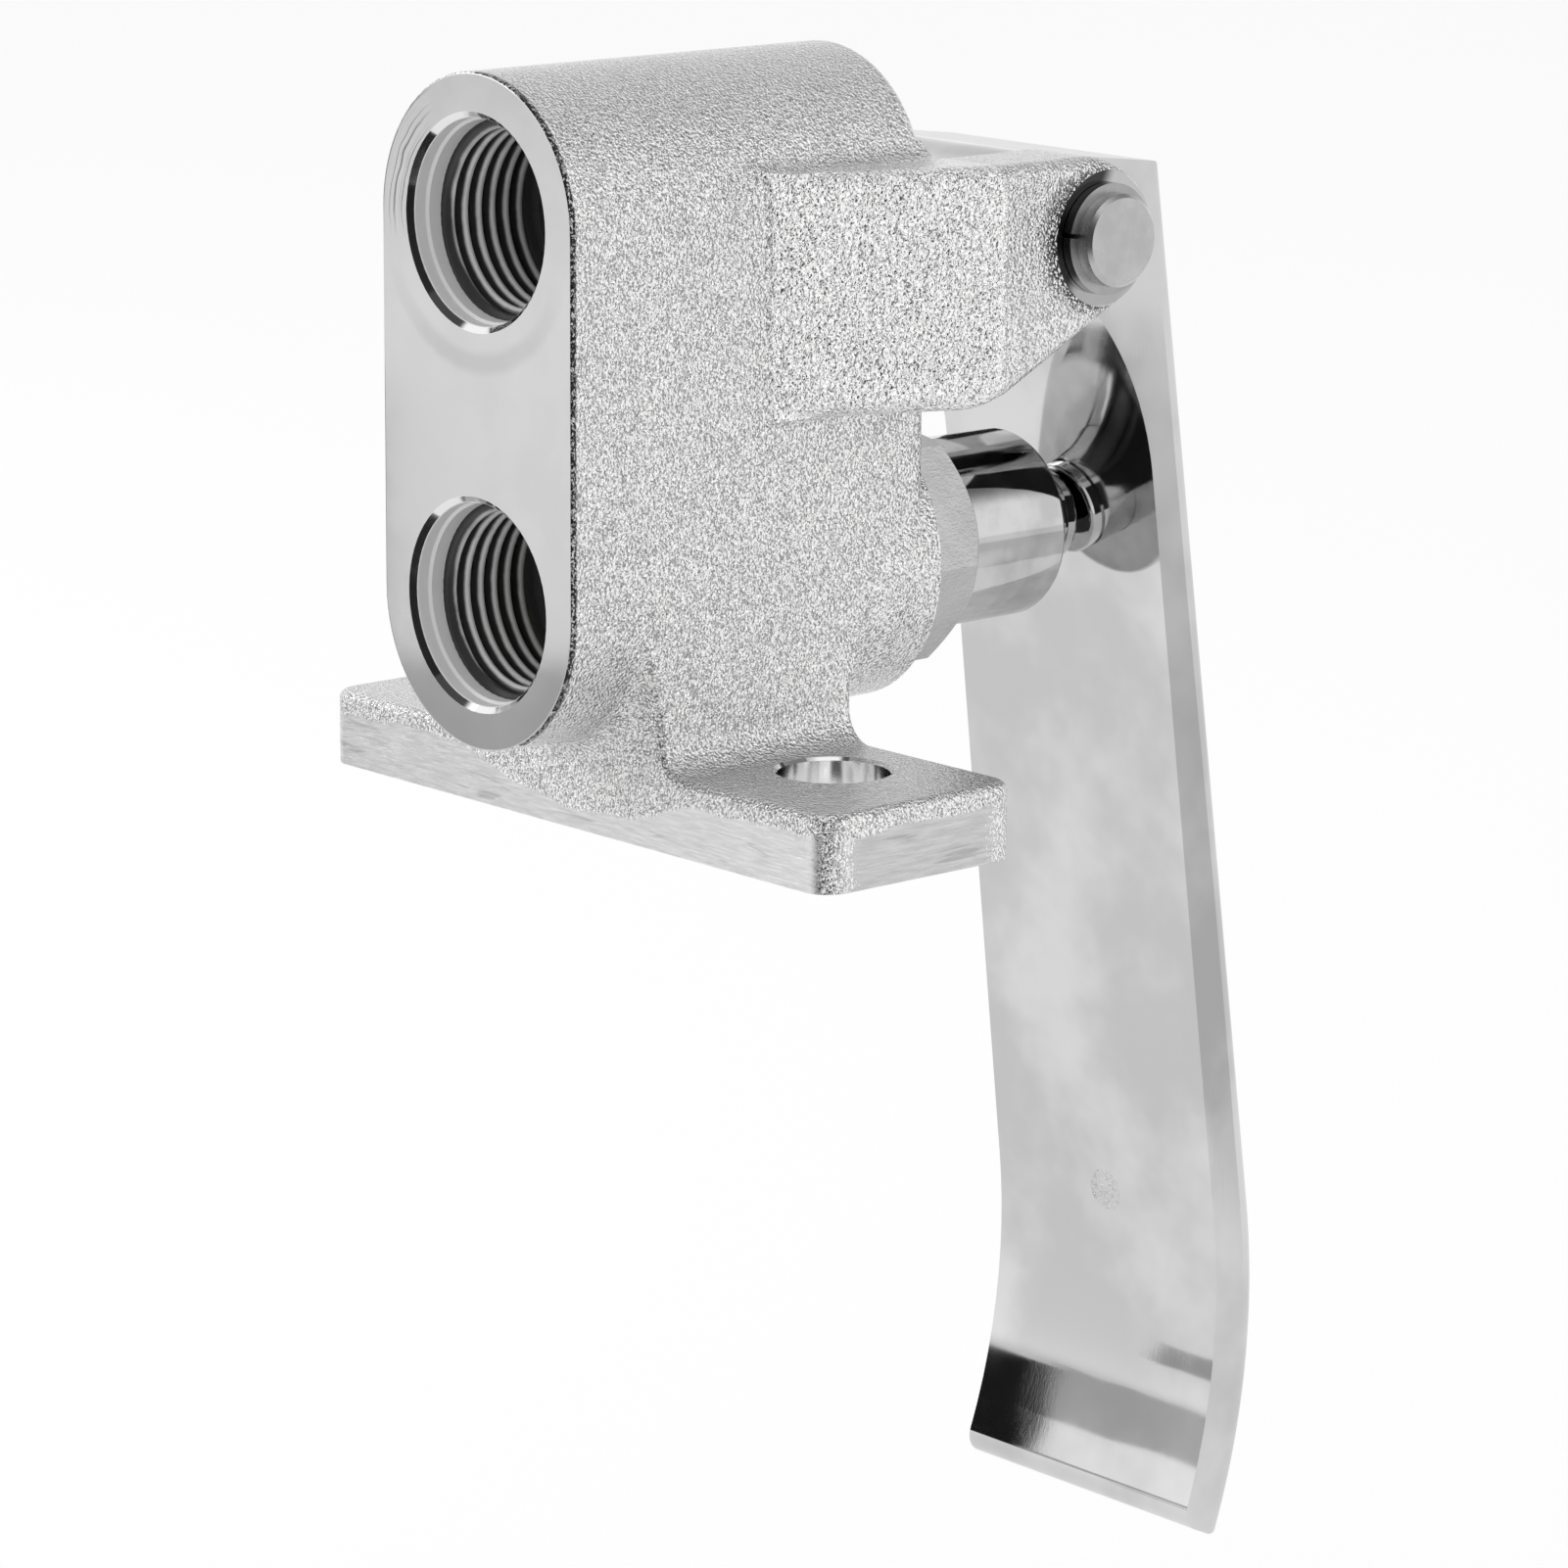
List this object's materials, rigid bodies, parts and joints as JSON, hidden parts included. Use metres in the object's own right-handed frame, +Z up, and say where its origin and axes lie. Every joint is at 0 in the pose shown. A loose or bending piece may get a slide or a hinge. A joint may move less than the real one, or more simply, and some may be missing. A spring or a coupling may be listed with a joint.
{
  "type": "pedal valve",
  "caption": "Self-closing pedal-operated water valve: cast block with stacked pipe ports and a bolt flange, spring-loaded push rod and a long curved hinged pedal.",
  "frame": {"origin": "middle of the two bolt holes, on the underside of the mounting flange", "axes": "+Z up, along the pedal; the pipe ports face -Y; the pedal hangs on the +Y side; X runs along the flange"},
  "size_m": [0.0826, 0.1008, 0.1745],
  "materials": {
    "cast_chrome": "satin chrome plate on a rough casting, with a polished port face",
    "satin_chrome": "satin",
    "polished_chrome": "mirror polished",
    "pin_steel": "turned",
    "spring_steel": "drawn wire",
    "brass": "turned",
    "seal_rubber": "matt",
    "gasket": "matt fibre",
    "bush_plastic": "matt"
  },
  "bodies": {
    "valve": {"valve_body": "cast_chrome", "seat_ring": "brass", "seat_gasket": "gasket", "bonnet": "satin_chrome", "bonnet_ring": "seal_rubber", "stem_ring_front": "seal_rubber", "stem_ring_back": "seal_rubber", "spring_cap": "polished_chrome", "rod_wiper": "seal_rubber", "spring_washer": "brass", "return_spring": "spring_steel", "pivot_pin": "pin_steel", "pin_ring_left": "pin_steel", "pin_ring_right": "pin_steel"},
    "pedal": {"pedal_lever": "polished_chrome", "hinge_bush_left": "bush_plastic", "hinge_bush_right": "bush_plastic"},
    "plunger": {"push_rod": "polished_chrome", "spring_collar": "brass", "valve_spindle": "brass", "disc_rubber": "seal_rubber", "disc_holder": "brass", "disc_nut": "brass"}
  },
  "joints": [
    {"name": "pedal_hinge", "type": "hinge", "parent": "valve", "child": "pedal", "pos_m": [0, 0.0377, 0.0609], "axis": [-1, 0, 0], "range_deg": [0, 6.5]},
    {"name": "plunger_slide", "type": "slide", "parent": "valve", "child": "plunger", "axis": [0, -1, 0], "range_m": [0, 0.004], "stiffness_N_per_m": 2500, "springref_m": -0.008, "deforming": ["return_spring"]}
  ],
  "couplings": [
    {"joint": "plunger_slide", "follows": "pedal_hinge", "m_per_rad": 0.0352}
  ]
}
